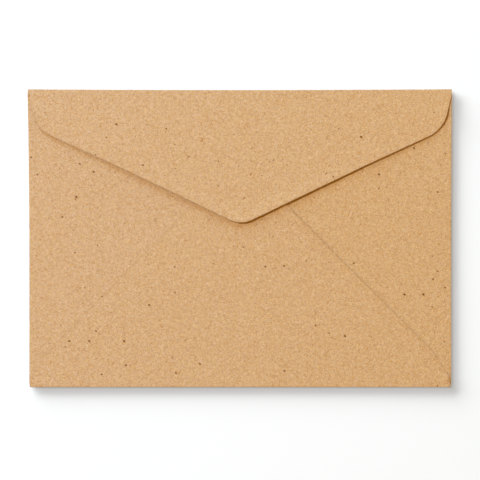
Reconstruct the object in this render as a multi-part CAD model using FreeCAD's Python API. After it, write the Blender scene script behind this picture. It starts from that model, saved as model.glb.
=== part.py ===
import FreeCAD, Part

import math
import os

# A closed paper envelope with a pointed closing flap, lying on its address panel.
# It is one sheet of kraft paper, cut as a cross of five panels, folded and glued:
# the address panel, two side flaps folded in over it, a bottom flap folded up and
# glued to the side flaps along two diagonal seams, and the closing flap on top.
# Millimetres. X runs along the width, Y from the bottom fold to the top fold,
# Z up from the surface that the address panel lies on.

# Sheet
envelope_width = 162.0
envelope_height = 114.0
paper = 0.18

# Folds and air between the layers
pocket_depth = 0.80
glue_bite = 0.02
closing_clearance = 0.14
notch_past_fold = 0.28

# Closing flap: outline as seen from above, depths from the top fold
closing_neck = 1.5
closing_shoulder_inset = 2.7
closing_shoulder_depth = 15.3
closing_tip_depth = 51.7
closing_tip_radius = 8.2
closing_spring_deg = 1.6
closing_bow_deg = 1.2

# Bottom flap: depths from the bottom fold
bottom_neck = 2.3
bottom_shoulder_inset = 6.0
bottom_shoulder_depth = 12.9
bottom_tip_depth = 88.0
bottom_tip_radius = 20.0

# Side flaps: the end is blunt and stops short of the middle
side_end_gap = 20.0
side_end_height = 14.8
side_throat_drop = 34.4
side_end_radius = 6.0

# Corners that the die gives to all flaps
neck_radius = 3.0
shoulder_radius = 12.5

# Heights of the layers over the resting surface
side_flap_floor = paper + pocket_depth
side_flap_top = side_flap_floor + paper
bottom_flap_floor = side_flap_top - glue_bite
bottom_flap_top = bottom_flap_floor + paper
closing_flap_floor = bottom_flap_top + closing_clearance
closing_flap_top = closing_flap_floor + paper

# Outer radii of the folds
side_fold = side_flap_top / 2
bottom_fold = bottom_flap_top / 2
closing_fold = closing_flap_top / 2
corner_notch = closing_fold + notch_past_fold

half_width = envelope_width / 2
half_height = envelope_height / 2


def rounded_outline(corners):
    """A flat face from its corners, each (x, y, radius), in order round the outline."""
    runs = []
    edges = []
    for number, (x, y, radius) in enumerate(corners):
        corner = FreeCAD.Vector(x, y, 0)
        if radius == 0:
            runs.append((corner, corner))
            continue
        back = FreeCAD.Vector(*corners[number - 1][:2], 0) - corner
        ahead = FreeCAD.Vector(*corners[(number + 1) % len(corners)][:2], 0) - corner
        half_angle = back.getAngle(ahead) / 2
        cut = radius / math.tan(half_angle)
        start = corner + back.normalize() * cut
        finish = corner + ahead.normalize() * cut
        inward = (back + ahead).normalize()
        middle = corner + inward * (radius / math.sin(half_angle) - radius)
        edges.append(Part.Arc(start, middle, finish).toShape())
        runs.append((start, finish))
    for number, (start, _) in enumerate(runs):
        edges.append(Part.LineSegment(runs[number - 1][1], start).toShape())
    return Part.Face(Part.Wire(Part.sortEdges(edges)[0]))


def both_halves(right_half):
    """All corners of a symmetric outline from the right ones, the last on the middle line."""
    return right_half + [(-x, y, radius) for x, y, radius in reversed(right_half[:-1])]


def prism(outline, floor, top):
    """A flat outline drawn out between two heights."""
    body = outline.extrude(FreeCAD.Vector(0, 0, top - floor))
    body.translate(FreeCAD.Vector(0, 0, floor))
    return body


def walked(place, length, turn):
    """Where a centre line at (y, z, heading) comes to after a length that turns evenly."""
    y, z, heading = place
    if turn == 0:
        return y + length * math.cos(heading), z + length * math.sin(heading), heading
    radius = length / turn
    ahead = heading + turn
    across = radius * (math.sin(ahead) - math.sin(heading))
    rise = radius * (math.cos(heading) - math.cos(ahead))
    return y + across, z + rise, ahead


def beside(place, offset):
    """The point to the right of a centre line that heads along a section, seen from +X."""
    y, z, heading = place
    return FreeCAD.Vector(0, y + offset * math.sin(heading), z - offset * math.cos(heading))


def paper_strip(start_y, steps, width):
    """Paper that lies level from start_y, heads for +Y and bends up and back in steps.

    Each step is the length of the paper's centre line and the angle it turns, in radians.
    """
    place = (start_y, paper / 2, 0.0)
    stops = [place]
    edges = []
    for length, turn in steps:
        midway = walked(place, length / 2, turn / 2)
        end = walked(place, length, turn)
        for offset in (paper / 2, -paper / 2):
            points = [beside(stop, offset) for stop in (place, midway, end)]
            curve = Part.Arc(*points) if turn else Part.LineSegment(points[0], points[2])
            edges.append(curve.toShape())
        place = end
        stops.append(place)
    for stop in (stops[0], stops[-1]):
        edges.append(Part.LineSegment(beside(stop, paper / 2), beside(stop, -paper / 2)).toShape())
    section = Part.Face(Part.Wire(Part.sortEdges(edges)[0]))
    strip = section.extrude(FreeCAD.Vector(width, 0, 0))
    strip.translate(FreeCAD.Vector(-width / 2, 0, 0))
    return strip


def flap(reach, fold_radius, fold_turn, after_fold, corners):
    """A flap folded over at +Y, where its fold reaches to, and trimmed to its outline."""
    level = (corner_notch - fold_radius, 0)
    fold = ((fold_radius - paper / 2) * fold_turn, fold_turn)
    width = 2 * max(x for x, y, radius in corners)
    strip = paper_strip(reach - corner_notch, [level, fold, after_fold], width)
    return strip.common(prism(rounded_outline(corners), -paper, 3 * closing_flap_top))


def closing_flap():
    """The pointed flap at the top fold: it springs up a little from the fold and bows."""
    spring = math.radians(closing_spring_deg)
    bow = math.radians(closing_bow_deg)
    corners = both_halves([
        (half_width, half_height, 0),
        (half_width, half_height - corner_notch - closing_neck, neck_radius),
        (half_width - closing_shoulder_inset, half_height - closing_shoulder_depth, shoulder_radius),
        (0, half_height - closing_tip_depth, closing_tip_radius),
    ])
    return flap(half_height, closing_fold, math.pi - spring, (closing_tip_depth, bow), corners)


def bottom_flap():
    """The flap that is folded up at the bottom and glued down on both side flaps."""
    corners = both_halves([
        (half_width, half_height, 0),
        (half_width, half_height - corner_notch - bottom_neck, neck_radius),
        (half_width - bottom_shoulder_inset, half_height - bottom_shoulder_depth, shoulder_radius),
        (0, half_height - bottom_tip_depth, bottom_tip_radius),
    ])
    up = flap(half_height, bottom_fold, math.pi, (bottom_tip_depth, 0), corners)
    up.rotate(FreeCAD.Vector(0, 0, 0), FreeCAD.Vector(0, 0, 1), 180)
    return up


def side_flap(hand):
    """A side flap, on the right for hand 1 and on the left for hand -1."""
    fold_end = half_height - corner_notch
    blunt_top = fold_end - side_throat_drop
    blunt_bottom = blunt_top - side_end_height
    corners = [
        (fold_end, half_width, 0),
        (fold_end, half_width - corner_notch, 0),
        (-blunt_bottom, side_end_gap / 2, side_end_radius),
        (-blunt_top, side_end_gap / 2, side_end_radius),
        (-fold_end, half_width - corner_notch, 0),
        (-fold_end, half_width, 0),
    ]
    handed = [(hand * x, y, radius) for x, y, radius in corners]
    side = flap(half_width, side_fold, math.pi, (half_width, 0), handed)
    side.rotate(FreeCAD.Vector(0, 0, 0), FreeCAD.Vector(0, 0, 1), -90 * hand)
    return side


def address_panel():
    """The level panel, a corner notch short of the envelope's four sides."""
    x = half_width - corner_notch
    y = half_height - corner_notch
    return prism(rounded_outline([(x, -y, 0), (x, y, 0), (-x, y, 0), (-x, -y, 0)]), 0, paper)


def folded_sheet():
    """The whole sheet, joined at the folds and at the glued seams."""
    flaps = [side_flap(1), side_flap(-1), bottom_flap(), closing_flap()]
    return address_panel().fuse(flaps).removeSplitter()


os.makedirs("parts", exist_ok=True)
folded_sheet().exportStep("parts/folded_sheet.step")
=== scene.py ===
import math

import bpy
import numpy as np
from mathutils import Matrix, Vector
from mathutils.geometry import delaunay_2d_cdt


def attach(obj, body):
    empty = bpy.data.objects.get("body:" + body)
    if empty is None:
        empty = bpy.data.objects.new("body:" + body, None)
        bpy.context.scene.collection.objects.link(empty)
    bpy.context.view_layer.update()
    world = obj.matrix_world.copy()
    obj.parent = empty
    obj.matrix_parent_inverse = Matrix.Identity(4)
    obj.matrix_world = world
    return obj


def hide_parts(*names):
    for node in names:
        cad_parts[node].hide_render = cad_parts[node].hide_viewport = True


# A closed envelope of brown kraft paper, lying on its address side under soft light.
# The sheet is drawn flat, as the die cuts it, meshed, folded and bent a little, as paper is.
# Lengths are in millimetres up to the mesh, which is in metres. +X is to the right, +Y towards
# the closing flap's fold and +Z up.

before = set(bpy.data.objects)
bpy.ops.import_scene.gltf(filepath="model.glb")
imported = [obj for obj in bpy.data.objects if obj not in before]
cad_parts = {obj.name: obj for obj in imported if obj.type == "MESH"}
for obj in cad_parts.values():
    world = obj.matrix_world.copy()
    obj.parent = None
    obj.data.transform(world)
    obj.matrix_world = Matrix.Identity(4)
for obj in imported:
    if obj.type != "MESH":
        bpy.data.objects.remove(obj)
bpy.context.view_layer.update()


def colour(red, green, blue):
    """A colour as shaders take it."""
    return (red, green, blue, 1.0)


MM = 0.001

# The envelope and its paper
WIDTH = 162.0
HEIGHT = 114.0
PAPER = 0.18
HALF_WIDTH = WIDTH / 2
HALF_HEIGHT = HEIGHT / 2

# Heights over the table to the top of each flap at its fold, and the creases' outer radius
SIDE_TOP = 1.16
BOTTOM_TOP = 1.32
CLOSING_TOP = 1.60
CREASE = 0.20

# The cuts that part the side flaps from the others: how far from the corners, and how wide
CORNER_NOTCH = 1.1
NOTCH_GAP = 0.1

# Outlines of the two outer flaps, right halves only: each corner as its distance from the
# middle, its depth from the fold and its radius
CLOSING_CORNERS = [(80.7, 2.6, 3.0), (77.5, 15.52, 12.5), (47.0, 29.45, 0.0), (0.0, 51.95, 9.2)]
BOTTOM_CORNERS = [(80.4, 3.4, 1.0), (75.0, 12.9, 12.5), (0.0, 88.0, 20.0)]

# The side flaps: their depth, and how far above the middle the blunt end starts and stops
SIDE_DEPTH = 71.0
SIDE_END = (6.7, 21.5)
SIDE_END_RADIUS = 6.0

# How far to the right of the middle the two outer flaps are cut, and at which depth
CLOSING_DEPTH = 51.7
CLOSING_ASIDE = 0.36
BOTTOM_DEPTH = 88.0
BOTTOM_ASIDE = -0.45

# The closing flap's spring at the fold, and how far it bows back over its depth
CLOSING_SPRING = math.radians(1.6)
CLOSING_BOW = math.radians(1.2)

# The mesh: steps along the outline and over the panels, steps round a crease, and how far past
# a fold its last row of points lies
EDGE_STEP = 0.7
PANEL_STEP = 1.9
CREASE_STEPS = 5
FOLD_MARGIN = 0.35

# How far the panels' points stay from the outline and the folds' rows, and those rows from the
# outline; nearer than SAME_POINT, two points are one
PANEL_TO_CUT = 0.45 * PANEL_STEP
PANEL_TO_FOLD = 0.4 * PANEL_STEP
FOLD_TO_CUT = 0.2
SAME_POINT = 1e-5

# How the paper lies: the pocket swells in the middle and is uneven, and the sides curl up, the
# corners a little less
PILLOW = 0.30
UNEVENNESS = 0.07
CURL = 0.4
CORNER_EASE = 0.25

# Waves of the unevenness: length, direction, phase and share
WAVES = (
    (61.0, 0.4, 0.3, 0.36),
    (43.0, 1.9, 2.1, 0.26),
    (33.0, 2.8, 4.4, 0.20),
    (24.0, 1.2, 1.1, 0.18),
)

# How far out the short sides lie, up to TAPER_START and at the top fold
LEFT_TAPER = (-0.13, 0.58)
RIGHT_TAPER = (0.02, 0.35)
TAPER_START = -10.0

# How far out the bottom fold lies, how far in the top fold's middle, and how much further out
# than that its ends
FOOT = 0.10
TOP_SAG = 0.12
TOP_BOW = 0.28

# How far the glued seams' edges stand up (below 0, lie pressed down) at LIP_FULL from the bottom
# fold and beyond, less towards the fold, and how far in from the cut that reaches
LEFT_LIP = -0.08
RIGHT_LIP = 0.50
LIP_FULL = 62.0
LIP_REACH = 1.4

# The bottom flap's neck on the right: its distance from the middle, its depth and its lip
NECK = (80.3, 4.1)
NECK_LIP = 0.8

# How far the closing flap's edge cups up at its tip, from which depth on, and how far in from
# the cut; and its shoulders: distance from the middle, depth and lip
CUP = 0.42
CUP_START = 16.0
CUP_REACH = 3.0
SHOULDER = (78.5, 9.5)
SHOULDER_LIP = 0.5

# Noises of the kraft pattern: size in millimetres, detail, roughness and distortion
FIBRE = (0.30, 1.0, 0.5, 0.3)
FINE = (0.28, 1.0, 0.6, 0.0)
FLOCK = (1.1, 2.0, 0.6, 0.4)
PULP = (0.55, 2.0, 0.7, 0.5)
CUT_FIBRE = (0.5, 3.0, 0.7, 0.0)

# Three layers of fibres, each with its direction and seed, and how far they are drawn out
FIBRE_LAYERS = ((0.4, 5.0), (1.5, 23.0), (2.6, 47.0))
FIBRE_STRETCH = 4.0

# What a noise adds, at its lowest and its highest, to the share of the way from deep to pale
FIBRE_TONE = (-0.30, 1.30)
FINE_TONE = (-0.62, 0.62)
FLOCK_TONE = (-0.10, 0.10)

# Warm and cool pulp, and how far round its middle the noise runs from one to the other
WARM_DEEP = colour(0.600, 0.243, 0.000)
WARM_PALE = colour(0.950, 0.642, 0.310)
COOL_DEEP = colour(0.400, 0.173, 0.080)
COOL_PALE = colour(0.750, 0.577, 0.470)
PULP_RANGE = 0.30

# Painted light: tints that make the left end paler and cooler and the right end warmer
LEFT_PAINTED_LIGHT = colour(0.982, 1.000, 0.985)
RIGHT_PAINTED_LIGHT = colour(0.994, 0.985, 0.860)

# Painted shade: a browner line on the face along the cut edges and seams, and how fast it fades
PAINTED_CUT_SHADE = colour(0.340, 0.120, 0.010)
PAINTED_CUT_SHADE_SHARE = 0.17
PAINTED_CUT_SHADE_FADE = 3.0

# Flecks: cell, share of cells, radius, softness, stretch, turn, seed and colour, and the
# smallest one's share of the radius
BARK = colour(0.220, 0.075, 0.000)
HUSK = colour(0.340, 0.110, 0.000)
STRAW = colour(0.860, 0.660, 0.460)
SPECKS = (
    (4.1, 0.11, 0.43, 0.08, 1.4, 0.6, 3.0, BARK),
    (3.3, 0.09, 0.28, 0.14, 2.6, 2.2, 17.0, HUSK),
    (1.9, 0.20, 0.22, 0.14, 1.6, 1.2, 29.0, HUSK),
    (2.3, 0.12, 0.24, 0.16, 1.8, 2.8, 41.0, STRAW),
)
SMALLEST_SPECK = 0.35

# The face: depth of its relief, how strongly that shows, the flocks' share in it, roughness
# from smooth to coarse spots, between which values of the fine noise, and specular level
FACE_RELIEF = 0.020
FACE_BUMP = 1.0
FLOCK_RELIEF = 0.8
FACE_ROUGHNESS = (0.72, 0.9)
FINE_SPAN = (0.2, 0.8)
FACE_SPECULAR = 0.25

# The cut edge, painted darker as shade: its darkest and palest colour, relief, roughness and
# specular level
CUT_DEEP = colour(0.30, 0.13, 0.03)
CUT_PALE = colour(0.52, 0.28, 0.10)
CUT_RELIEF = 0.05
CUT_BUMP = 0.6
CUT_ROUGHNESS = 0.95
CUT_SPECULAR = 0.2

# Lamps: azimuth from +X to +Y, elevation, distance, width and height, share of the light and
# tint, in degrees and metres. A share of 1 on a level surface shows white as white. The shares
# and tints of the sky, the key and the low lamp add up to about that on the envelope.
KEY = (150.0, 55.0, 2.0, (0.35, 0.35), 0.50, (0.88, 1.0, 1.10))
LOW_LAMP = (105.0, 24.0, 3.0, (1.8, 1.8), 0.25, (0.50, 1.0, 1.76))
TABLE_LAMP = (135.0, 15.0, 3.0, (3.2, 1.1), 2.12, (1.04, 1.0, 0.84))
SKY_SHARE = 0.27
SKY_TINT = colour(1.667, 1.0, 0.12)
WHITE = colour(1, 1, 1)

# The table: half its side in metres, its colour, and how much it glows where it is seen, so that
# it shows white and the light that it throws back stays low
TABLE_REACH = 4.0
TABLE = colour(0.242, 0.265, 0.323)
TABLE_GLOW = 0.35

# The photograph in pixels: its side, its scale, and where the envelope's middle lies from the
# upper left
PHOTO_SIDE = 480
PIXELS_PER_MM = 2.606
MIDDLE_X = 240.0
MIDDLE_Y = 238.25

# The camera: the height over the table at which that scale holds, its focal length and sensor
# width, and the nearest that it sees, in metres
PANEL_LEVEL = 1.7
LENS = 120.0
SENSOR = 36.0
CLIP_START = 0.01


def fold_steps(half, top, spring=0.0, depth=2 * WIDTH, bow=0.0):
    """How the paper's middle line goes from the sheet's middle over a fold and back.

    Each step is a length and the angle that it turns: level, bent up, upright, bent back and
    over the panel, which by default is further than any flap reaches.
    """
    radius = CREASE - PAPER / 2
    return [
        (half - CREASE, 0.0),
        (radius * math.pi / 2, math.pi / 2),
        (top - 2 * CREASE, 0.0),
        (radius * (math.pi / 2 - spring), math.pi / 2 - spring),
        (depth, bow),
    ]


def flat_reach(half, top, depth):
    """How far from the middle of the flat sheet a depth from a fold lies."""
    return sum(length for length, turn in fold_steps(half, top)[:4]) + depth - CREASE


def rounded(corners):
    """The points of a closed outline from its corners, each (x, y, radius), convex or sharp."""
    points = []
    for number, (x, y, radius) in enumerate(corners):
        corner = np.array((x, y))
        if radius == 0:
            points.append(corner)
            continue
        back = np.array(corners[number - 1][:2]) - corner
        ahead = np.array(corners[(number + 1) % len(corners)][:2]) - corner
        back /= np.linalg.norm(back)
        ahead /= np.linalg.norm(ahead)
        half_angle = math.acos(back @ ahead) / 2
        middle = (back + ahead) / np.linalg.norm(back + ahead)
        centre = corner + middle * radius / math.sin(half_angle)
        sweep = math.pi / 2 - half_angle
        across = ahead - middle * (ahead @ middle)
        across /= np.linalg.norm(across)
        count = max(2, math.ceil(2 * sweep * radius / EDGE_STEP))
        for angle in np.linspace(-sweep, sweep, count + 1):
            out = middle * math.cos(angle) - across * math.sin(angle)
            points.append(centre - radius * out)
    return points


def divided(points):
    """A closed outline with points added so that none are further apart than EDGE_STEP."""
    line = []
    for here, ahead in zip(points, points[1:] + points[:1]):
        count = max(1, math.ceil(np.linalg.norm(ahead - here) / EDGE_STEP))
        line += [here + (ahead - here) * share for share in np.arange(count) / count]
    return np.array(line)


def flat_outline():
    """The die-cut outline of the flat sheet, anticlockwise, round the address panel's middle."""
    top = [(x, flat_reach(HALF_HEIGHT, CLOSING_TOP, depth), r) for x, depth, r in CLOSING_CORNERS]
    foot = [(x, -flat_reach(HALF_HEIGHT, BOTTOM_TOP, depth), r) for x, depth, r in BOTTOM_CORNERS]
    notch_x = HALF_WIDTH - CREASE
    notch_y = HALF_HEIGHT - CORNER_NOTCH
    tip = flat_reach(HALF_WIDTH, SIDE_TOP, SIDE_DEPTH)
    shoulder = flat_reach(HALF_WIDTH, SIDE_TOP, CORNER_NOTCH)
    side_edge = notch_y - NOTCH_GAP
    right = [
        (HALF_WIDTH, -notch_y, 0),
        (notch_x, -notch_y, 0),
        (notch_x, -side_edge, 0),
        (shoulder, -side_edge, 0),
        (tip, SIDE_END[0], SIDE_END_RADIUS),
        (tip, SIDE_END[1], SIDE_END_RADIUS),
        (shoulder, side_edge, 0),
        (notch_x, side_edge, 0),
        (notch_x, notch_y, 0),
        (HALF_WIDTH, notch_y, 0),
    ]
    half = foot[1::-1] + right + top
    whole = [foot[2]] + half + [(-x, y, r) for x, y, r in half[-2::-1]]
    points = divided(rounded(whole))
    for sign, aside, depth in ((1, CLOSING_ASIDE, CLOSING_DEPTH), (-1, BOTTOM_ASIDE, BOTTOM_DEPTH)):
        past_fold = np.maximum(sign * points[:, 1] - HALF_HEIGHT, 0)
        points[:, 0] += aside * past_fold / depth
    return points


def inside_by(points, outline):
    """How far inside the outline each point lies, negative outside."""
    start = outline
    end = np.roll(outline, -1, axis=0)
    run = end - start
    nearest = np.full(len(points), np.inf)
    crossings = np.zeros(len(points), int)
    for a, b, d in zip(start, end, run):
        share = np.clip(((points - a) @ d) / (d @ d), 0, 1)
        nearest = np.minimum(nearest, np.linalg.norm(points - a - share[:, None] * d, axis=1))
        spans = (points[:, 1] < a[1]) != (points[:, 1] < b[1])
        if spans.any():
            x = a[0] + (points[spans, 1] - a[1]) / d[1] * d[0]
            crossings[spans] += points[spans, 0] < x
    return np.where(crossings % 2 == 1, nearest, -nearest)


def fold_rows(half, top):
    """Where mesh points lie across a fold on the flat sheet: close together where it bends."""
    rows = []
    begun = 0.0
    for length, turn in fold_steps(half, top)[:4]:
        count = CREASE_STEPS if turn else 2
        if begun:
            rows += [begun + length * share for share in np.arange(count) / count]
        begun += length
    return np.array([rows[0] - FOLD_MARGIN, *rows, begun, begun + FOLD_MARGIN])


def inner_points(outline):
    """Mesh points inside the outline: staggered rows, and close rows along the folds."""
    low, high = outline.min(axis=0), outline.max(axis=0)
    rows = np.arange(low[1], high[1], PANEL_STEP * math.sqrt(3) / 2)
    points = np.array([
        (x + (PANEL_STEP / 2 if number % 2 else 0), y)
        for number, y in enumerate(rows)
        for x in np.arange(low[0], high[0], PANEL_STEP)
    ])
    points = points[inside_by(points, outline) > PANEL_TO_CUT]
    lines = []
    for axis, sign, half, top, reach in (
        (0, 1, HALF_WIDTH, SIDE_TOP, HALF_HEIGHT),
        (0, -1, HALF_WIDTH, SIDE_TOP, HALF_HEIGHT),
        (1, 1, HALF_HEIGHT, CLOSING_TOP, HALF_WIDTH),
        (1, -1, HALF_HEIGHT, BOTTOM_TOP, HALF_WIDTH),
    ):
        across = sign * fold_rows(half, top)
        along = np.arange(-reach, reach, PANEL_STEP)
        pairs = np.array([(a, c) for c in across for a in along])
        lines.append(pairs[:, ::-1] if axis == 0 else pairs)
        near = np.abs(points[:, axis] - across.mean()) < np.ptp(across) / 2 + PANEL_TO_FOLD
        points = points[~(near & (np.abs(points[:, 1 - axis]) < reach))]
    lines = np.concatenate(lines)
    lines = lines[inside_by(lines, outline) > FOLD_TO_CUT]
    return np.concatenate([points, lines])


def meshed(outline):
    """The flat sheet as points and triangles; the outline's points come first, in order."""
    points = np.concatenate([outline, inner_points(outline)])
    coords = [Vector(point) for point in points.tolist()]
    border = list(range(len(outline)))
    inside_only = 1
    found = delaunay_2d_cdt(coords, [], [border], inside_only, SAME_POINT)
    flat = np.array([tuple(point) for point in found[0]])
    return flat, found[2]


def bent(reach, steps):
    """Where points of the paper's middle line come to, as arrays for their reaches along it.

    Returns how far out each then is, its height, and its heading, which turns from 0,
    outward, to pi, back over the panel.
    """
    out = np.zeros_like(reach)
    height = np.full_like(reach, PAPER / 2)
    heading = np.zeros_like(reach)
    begun = 0.0
    for length, turn in steps:
        part = np.clip(reach - begun, 0, length)
        half_angle = turn * part / length / 2
        chord = part * np.sinc(half_angle / math.pi)
        out += chord * np.cos(heading + half_angle)
        height += chord * np.sin(heading + half_angle)
        heading += 2 * half_angle
        begun += length
    return out, height, heading


def folded(flat):
    """The folded sheet's middle layer, its outer side's normals, and how far over it is turned."""
    u, v = flat.T
    notch_y = HALF_HEIGHT - CORNER_NOTCH - NOTCH_GAP / 2
    on_side = np.abs(v) <= notch_y
    closing = fold_steps(HALF_HEIGHT, CLOSING_TOP, CLOSING_SPRING, CLOSING_DEPTH, CLOSING_BOW)
    bottom = fold_steps(HALF_HEIGHT, BOTTOM_TOP)
    side = fold_steps(HALF_WIDTH, SIDE_TOP)
    places = np.stack([u, v, np.full(len(u), PAPER / 2)], axis=1)
    normals = np.tile((0.0, 0.0, -1.0), (len(u), 1))
    over = np.zeros(len(u))
    for on_flap, axis, sign, steps in (
        (v > notch_y, 1, 1, closing),
        (v < -notch_y, 1, -1, bottom),
        (on_side & (u > HALF_WIDTH - CORNER_NOTCH), 0, 1, side),
        (on_side & (u < CORNER_NOTCH - HALF_WIDTH), 0, -1, side),
    ):
        out, height, heading = bent(sign * flat[on_flap, axis], steps)
        places[on_flap, axis] = sign * out
        places[on_flap, 2] = height
        normals[on_flap, axis] = sign * np.sin(heading)
        normals[on_flap, 2] = -np.cos(heading)
        over[on_flap] = np.clip(heading / math.pi, 0, 1)
    return places, normals, over


def uneven(x, y):
    """A gentle unevenness of the panels, from -1 to 1, with no repeat over the envelope."""
    total = np.zeros_like(x)
    for length, direction, phase, share in WAVES:
        along = x * math.cos(direction) + y * math.sin(direction)
        total += share * np.sin(2 * math.pi * along / length + phase)
    return total


def fading(distance, reach):
    """1 at no distance, falling smoothly to almost 0 at twice the reach."""
    return np.exp(-((distance / reach) ** 2))


def edge_lips(flat, outline):
    """How far cut edges stand off what they lie on: the glued seams' and the closing flap's."""
    x, y = flat.T
    from_cut = np.maximum(inside_by(flat, outline), 0)
    seam = np.where(x < 0, LEFT_LIP, RIGHT_LIP) * fading(from_cut, LIP_REACH)
    seam *= np.clip((-y - HALF_HEIGHT) / LIP_FULL, 0, 1)
    neck_y = -flat_reach(HALF_HEIGHT, BOTTOM_TOP, NECK[1])
    seam += NECK_LIP * fading(np.hypot(x - NECK[0], y - neck_y), LIP_REACH)
    deeper = np.clip((y - HALF_HEIGHT - CUP_START) / (CLOSING_DEPTH - CUP_START), 0, 1)
    cup = CUP * deeper * fading(from_cut, CUP_REACH)
    shoulder_y = flat_reach(HALF_HEIGHT, CLOSING_TOP, SHOULDER[1])
    from_shoulder = np.hypot(np.abs(x) - SHOULDER[0], y - shoulder_y)
    cup += SHOULDER_LIP * fading(from_shoulder, CUP_REACH)
    return np.where(y < CORNER_NOTCH - HALF_HEIGHT, seam, cup)


def tapered(ends, rise):
    """How far out a short side lies, at a share of the way from its lower to its upper end."""
    return ends[0] + (ends[1] - ends[0]) * rise


def relaxed(places, over):
    """The folded sheet as paper lies: a little swollen, curled, uneven and not quite square."""
    x, y, z = places.T
    share_x = x / HALF_WIDTH
    share_y = y / HALF_HEIGHT
    inside = np.clip(1 - share_x**2, 0, 1) * np.clip(1 - share_y**2, 0, 1)
    swell = PILLOW * inside + UNEVENNESS * np.sqrt(inside) * uneven(x, y)
    curl = CURL * (share_x**2 + share_y**2) - CORNER_EASE * (share_x * share_y) ** 2
    lifted = z + swell * over + curl
    rise = np.clip((y - TAPER_START) / (HALF_HEIGHT - TAPER_START), 0, 1) ** 2
    wider = x + share_x * np.where(x < 0, tapered(LEFT_TAPER, rise), tapered(RIGHT_TAPER, rise))
    top = np.clip(share_y, 0, 1) * (TOP_BOW * share_x**2 - TOP_SAG)
    higher = y + top + np.clip(share_y, -1, 0) * FOOT
    return np.stack([wider, higher, lifted], axis=1)


def sharpen_cut(mesh, count, border_count):
    """Marks both rims of the cut as sharp edges, so that each side is smooth up to the cut."""
    ends = np.empty(2 * len(mesh.edges), int)
    mesh.edges.foreach_get("vertices", ends)
    ends = ends.reshape(-1, 2)
    apart = np.abs(ends[:, 0] - ends[:, 1])
    neighbours = (apart == 1) | (apart == border_count - 1)
    at_rim = (ends % count < border_count).all(axis=1) & neighbours
    mesh.edges.foreach_set("use_edge_sharp", at_rim.tolist())


def store_places(mesh, flat, border_count):
    """Keeps for the shaders where each point lies on the flat sheet, and which are at the cut."""
    count = len(flat)
    through = np.repeat((PAPER / 2, -PAPER / 2), count)
    blank = np.column_stack([np.concatenate([flat, flat]), through])
    place = mesh.attributes.new("blank_mm", "FLOAT_VECTOR", "POINT")
    place.data.foreach_set("vector", blank.astype(np.float32).ravel())
    on_border = np.arange(2 * count) % count < border_count
    at_cut = mesh.attributes.new("at_cut", "FLOAT", "POINT")
    at_cut.data.foreach_set("value", on_border.astype(np.float32))


def sheet_object(flat, triangles, border_count):
    """The folded sheet as one closed mesh: outer side, inner side and the cut edge round them."""
    middle, normals, over = folded(flat)
    middle = relaxed(middle, over)
    middle[:, 2] += edge_lips(flat, flat[:border_count]) * over
    count = len(flat)
    points = np.concatenate([middle + normals * PAPER / 2, middle - normals * PAPER / 2])
    outer = [face[::-1] for face in triangles]
    inner = [[corner + count for corner in face] for face in triangles]
    rim = []
    for here in range(border_count):
        ahead = (here + 1) % border_count
        rim.append([here, ahead, ahead + count, here + count])
    mesh = bpy.data.meshes.new("kraft_sheet")
    mesh.from_pydata((points * MM).tolist(), [], outer + inner + rim)
    on_rim = [False] * (len(outer) + len(inner)) + [True] * len(rim)
    mesh.polygons.foreach_set("use_smooth", [not cut for cut in on_rim])
    mesh.polygons.foreach_set("material_index", [int(cut) for cut in on_rim])
    sharpen_cut(mesh, count, border_count)
    store_places(mesh, flat, border_count)
    piece = bpy.data.objects.new("kraft_sheet", mesh)
    bpy.context.scene.collection.objects.link(piece)
    return piece


class Graph:
    """A shader's nodes, made one call at a time."""

    def __init__(self, tree):
        self.tree = tree
        tree.nodes.clear()

    def node(self, kind, inputs=None, **settings):
        """A new node, with a value or another node's output in each named or numbered input."""
        made = self.tree.nodes.new("ShaderNode" + kind)
        for name, value in settings.items():
            setattr(made, name, value)
        for socket, value in (inputs or {}).items():
            if isinstance(value, bpy.types.NodeSocket):
                self.tree.links.new(value, made.inputs[socket])
            else:
                made.inputs[socket].default_value = value
        return made

    def math(self, operation, first, second):
        return self.node("Math", {0: first, 1: second}, operation=operation).outputs[0]

    def noise(self, place, size, detail, roughness, distortion):
        inputs = {
            "Vector": place,
            "Scale": 1 / size,
            "Detail": detail,
            "Roughness": roughness,
            "Distortion": distortion,
        }
        return self.node("TexNoise", inputs).outputs["Fac"]

    def ramp(self, value, low, high, to_low=0.0, to_high=1.0):
        """A value between low and high, moved to between to_low and to_high."""
        inputs = {
            "Value": value,
            "From Min": low,
            "From Max": high,
            "To Min": to_low,
            "To Max": to_high,
        }
        return self.node("MapRange", inputs).outputs["Result"]

    def mix(self, factor, first, second, blend="MIX"):
        inputs = {0: factor, 6: first, 7: second}
        return self.node("Mix", inputs, data_type="RGBA", blend_type=blend).outputs[2]


def new_material(name):
    """A material with no nodes yet, and the graph to make them with."""
    material = bpy.data.materials.new(name)
    material.use_nodes = True
    return material, Graph(material.node_tree)


def stretched(graph, place, turn, stretch, seed):
    """A place on the sheet, for a pattern drawn out by stretch in the direction turn."""
    inputs = {
        "Vector": place,
        "Location": (seed, -seed, 0),
        "Rotation": (0, 0, turn),
        "Scale": (stretch, 1, 1),
    }
    return graph.node("Mapping", inputs, vector_type="TEXTURE").outputs[0]


def specks(graph, place, cell, share, radius, softness, stretch, turn, seed):
    """A mask of flecks in the pulp: about share of the cells, each cell mm wide, holds one."""
    turned = stretched(graph, place, turn, stretch, seed)
    cells = graph.node("TexVoronoi", {"Vector": turned, "Scale": 1 / cell}, voronoi_dimensions="2D")
    chance = graph.node("SeparateColor", {0: cells.outputs["Color"]})
    size = graph.ramp(chance.outputs[1], 0, 1, SMALLEST_SPECK * radius / cell, radius / cell)
    near = graph.math("SUBTRACT", size, cells.outputs["Distance"])
    fleck = graph.ramp(near, 0, softness / cell)
    return graph.math("MULTIPLY", fleck, graph.math("LESS_THAN", chance.outputs[0], share))


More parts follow.
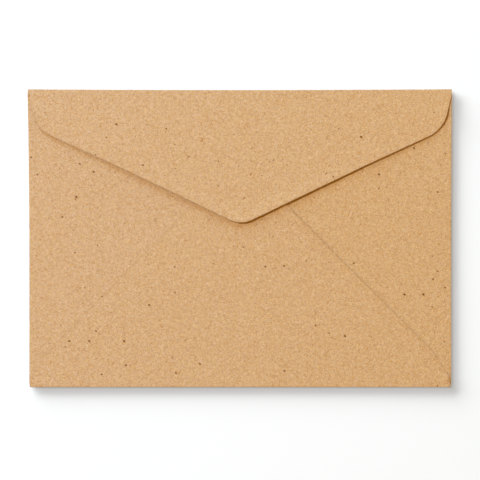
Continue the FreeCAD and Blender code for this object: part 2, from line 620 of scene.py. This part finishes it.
def fibres(graph, place):
    """Fibres that lie all ways: the mean of noises that are each drawn out in their own way."""
    total = 0.0
    for turn, seed in FIBRE_LAYERS:
        lying = graph.noise(stretched(graph, place, turn, FIBRE_STRETCH, seed), *FIBRE)
        total = graph.math("ADD", lying, total)
    return graph.math("DIVIDE", total, len(FIBRE_LAYERS))


def blank_place(graph):
    """The place on the flat sheet, in millimetres."""
    return graph.node("Attribute", attribute_name="blank_mm").outputs["Vector"]


def paper_surface(graph, paper, roughness, specular, height, strength, depth):
    """The shader and the output: a dull surface with a relief of a depth in millimetres."""
    relief = {"Strength": strength, "Distance": depth * MM, "Height": height}
    inputs = {
        "Base Color": paper,
        "Roughness": roughness,
        "Specular IOR Level": specular,
        "Normal": graph.node("Bump", relief).outputs[0],
    }
    shader = graph.node("BsdfPrincipled", inputs)
    graph.node("OutputMaterial", {"Surface": shader.outputs[0]})


def kraft_material():
    """Unbleached kraft paper: fibres, flocks, warm and cool pulp, bark flecks, painted shade and
    light.
    """
    material, graph = new_material("kraft_paper")
    place = blank_place(graph)
    fibre = fibres(graph, place)
    fine = graph.noise(place, *FINE)
    flock = graph.noise(place, *FLOCK)
    tone = graph.ramp(fibre, 0, 1, *FIBRE_TONE)
    tone = graph.math("ADD", tone, graph.ramp(fine, 0, 1, *FINE_TONE))
    tone = graph.math("ADD", tone, graph.ramp(flock, 0, 1, *FLOCK_TONE))
    pulp = graph.ramp(graph.noise(place, *PULP), 0.5 - PULP_RANGE, 0.5 + PULP_RANGE)
    warm = graph.mix(tone, WARM_DEEP, WARM_PALE)
    cool = graph.mix(tone, COOL_DEEP, COOL_PALE)
    paper = graph.mix(pulp, warm, cool)
    # Painted light: a tint that runs across the flat sheet from its left end to its right end
    along = graph.node("SeparateXYZ", {0: place}).outputs[0]
    painted_light_drift = graph.mix(graph.ramp(along, -HALF_WIDTH, HALF_WIDTH), LEFT_PAINTED_LIGHT, RIGHT_PAINTED_LIGHT)
    paper = graph.mix(1.0, paper, painted_light_drift, "MULTIPLY")
    # Painted shade: the face is darkened along the cut
    at_cut = graph.node("Attribute", attribute_name="at_cut").outputs["Fac"]
    rim = graph.math("MULTIPLY", graph.math("POWER", at_cut, PAINTED_CUT_SHADE_FADE), PAINTED_CUT_SHADE_SHARE)
    paper = graph.mix(rim, paper, PAINTED_CUT_SHADE)
    for *settings, shade in SPECKS:
        paper = graph.mix(specks(graph, place, *settings), paper, shade)
    roughness = graph.ramp(fine, *FINE_SPAN, *FACE_ROUGHNESS)
    height = graph.math("ADD", fibre, graph.math("MULTIPLY", flock, FLOCK_RELIEF))
    paper_surface(graph, paper, roughness, FACE_SPECULAR, height, FACE_BUMP, FACE_RELIEF)
    return material


def cut_edge_material():
    """The die-cut edge of the paper, more fibrous than its face, painted dark brown as shade along
    the cut.
    """
    material, graph = new_material("cut_edge")
    fibre = graph.noise(blank_place(graph), *CUT_FIBRE)
    # Painted shade: the cut edge's colours are darkened
    paper = graph.mix(fibre, CUT_DEEP, CUT_PALE)
    paper_surface(graph, paper, CUT_ROUGHNESS, CUT_SPECULAR, fibre, CUT_BUMP, CUT_RELIEF)
    return material


def envelope(outline):
    """The folded sheet in its two materials, for its faces and for its cut edge."""
    flat, triangles = meshed(outline)
    piece = sheet_object(flat, triangles, len(outline))
    piece.data.materials.append(kraft_material())
    piece.data.materials.append(cut_edge_material())
    return piece


def seen_directly(graph):
    """1 for what the camera sees, straight or in gloss and glass, 0 for light on the object."""
    path = graph.node("LightPath")
    either = graph.math("MAXIMUM", path.outputs["Is Camera Ray"], path.outputs["Is Glossy Ray"])
    return graph.math("MAXIMUM", either, path.outputs["Is Transmission Ray"])


def floor():
    """A wide table that shows white and keeps the envelope's shadow."""
    mesh = bpy.data.meshes.new("table")
    reach = TABLE_REACH
    corners = [(-reach, -reach, 0), (reach, -reach, 0), (reach, reach, 0), (-reach, reach, 0)]
    mesh.from_pydata(corners, [], [(0, 1, 2, 3)])
    table = bpy.data.objects.new("table", mesh)
    bpy.context.scene.collection.objects.link(table)
    material, graph = new_material("table_white")
    base = graph.node("BsdfDiffuse", {"Color": TABLE}).outputs[0]
    strength = graph.math("MULTIPLY", seen_directly(graph), TABLE_GLOW)
    glow = graph.node("Emission", {"Color": WHITE, "Strength": strength}).outputs[0]
    whole = graph.node("AddShader", {0: base, 1: glow}).outputs[0]
    graph.node("OutputMaterial", {"Surface": whole})
    mesh.materials.append(material)
    return table


def softbox(name, azimuth, elevation, distance, size, share, tint):
    """A lamp that faces the envelope's middle and gives a level surface there its share."""
    lamp = bpy.data.lights.new(name, "AREA")
    lamp.shape = "RECTANGLE"
    lamp.size, lamp.size_y = size
    lamp.color = tint
    rise = math.radians(elevation)
    turn = math.radians(azimuth)
    # A surface that faces the lamp gets energy / (pi * distance**2), and pi shows white as 1
    lamp.energy = share * math.pi**2 * distance**2 / math.sin(rise)
    level = math.cos(rise)
    where = Vector((math.cos(turn) * level, math.sin(turn) * level, math.sin(rise)))
    body = bpy.data.objects.new(name, lamp)
    body.location = where * distance
    body.rotation_mode = "QUATERNION"
    body.rotation_quaternion = where.to_track_quat("Z", "Y")
    bpy.context.scene.collection.objects.link(body)
    return body


def light_only(lamp, lit):
    """Lets a lamp light one object alone; the others still cast their shadows on it."""
    receivers = bpy.data.collections.new(lamp.name + "_lights")
    receivers.objects.link(lit)
    lamp.light_linking.receiver_collection = receivers


def sky():
    """Even light from all round, and white where the camera looks past the table."""
    world = bpy.data.worlds.new("studio")
    world.use_nodes = True
    graph = Graph(world.node_tree)
    seen = seen_directly(graph)
    strength = graph.ramp(seen, 0, 1, SKY_SHARE, 1.0)
    tint = graph.mix(seen, SKY_TINT, WHITE)
    light = graph.node("Background", {"Color": tint, "Strength": strength}).outputs[0]
    graph.node("OutputWorld", {"Surface": light})
    bpy.context.scene.world = world


def camera():
    """Looks straight down from high up, with the closing flap's fold at the top."""
    lens = bpy.data.cameras.new("camera")
    lens.lens = LENS
    lens.sensor_width = SENSOR
    lens.clip_start = CLIP_START
    width = PHOTO_SIDE / PIXELS_PER_MM
    height = width * LENS / SENSOR + PANEL_LEVEL
    x = (PHOTO_SIDE / 2 - MIDDLE_X) / PIXELS_PER_MM
    y = (MIDDLE_Y - PHOTO_SIDE / 2) / PIXELS_PER_MM
    eye = bpy.data.objects.new("camera", lens)
    eye.location = Vector((x, y, height)) * MM
    bpy.context.scene.collection.objects.link(eye)
    bpy.context.scene.camera = eye


outline = flat_outline()
piece = envelope(outline)
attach(piece, "root")
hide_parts("folded_sheet")

table = floor()
sky()
softbox("key", *KEY)
light_only(softbox("low_lamp", *LOW_LAMP), piece)
light_only(softbox("table_lamp", *TABLE_LAMP), table)
camera()
bpy.context.scene.view_settings.view_transform = "Standard"
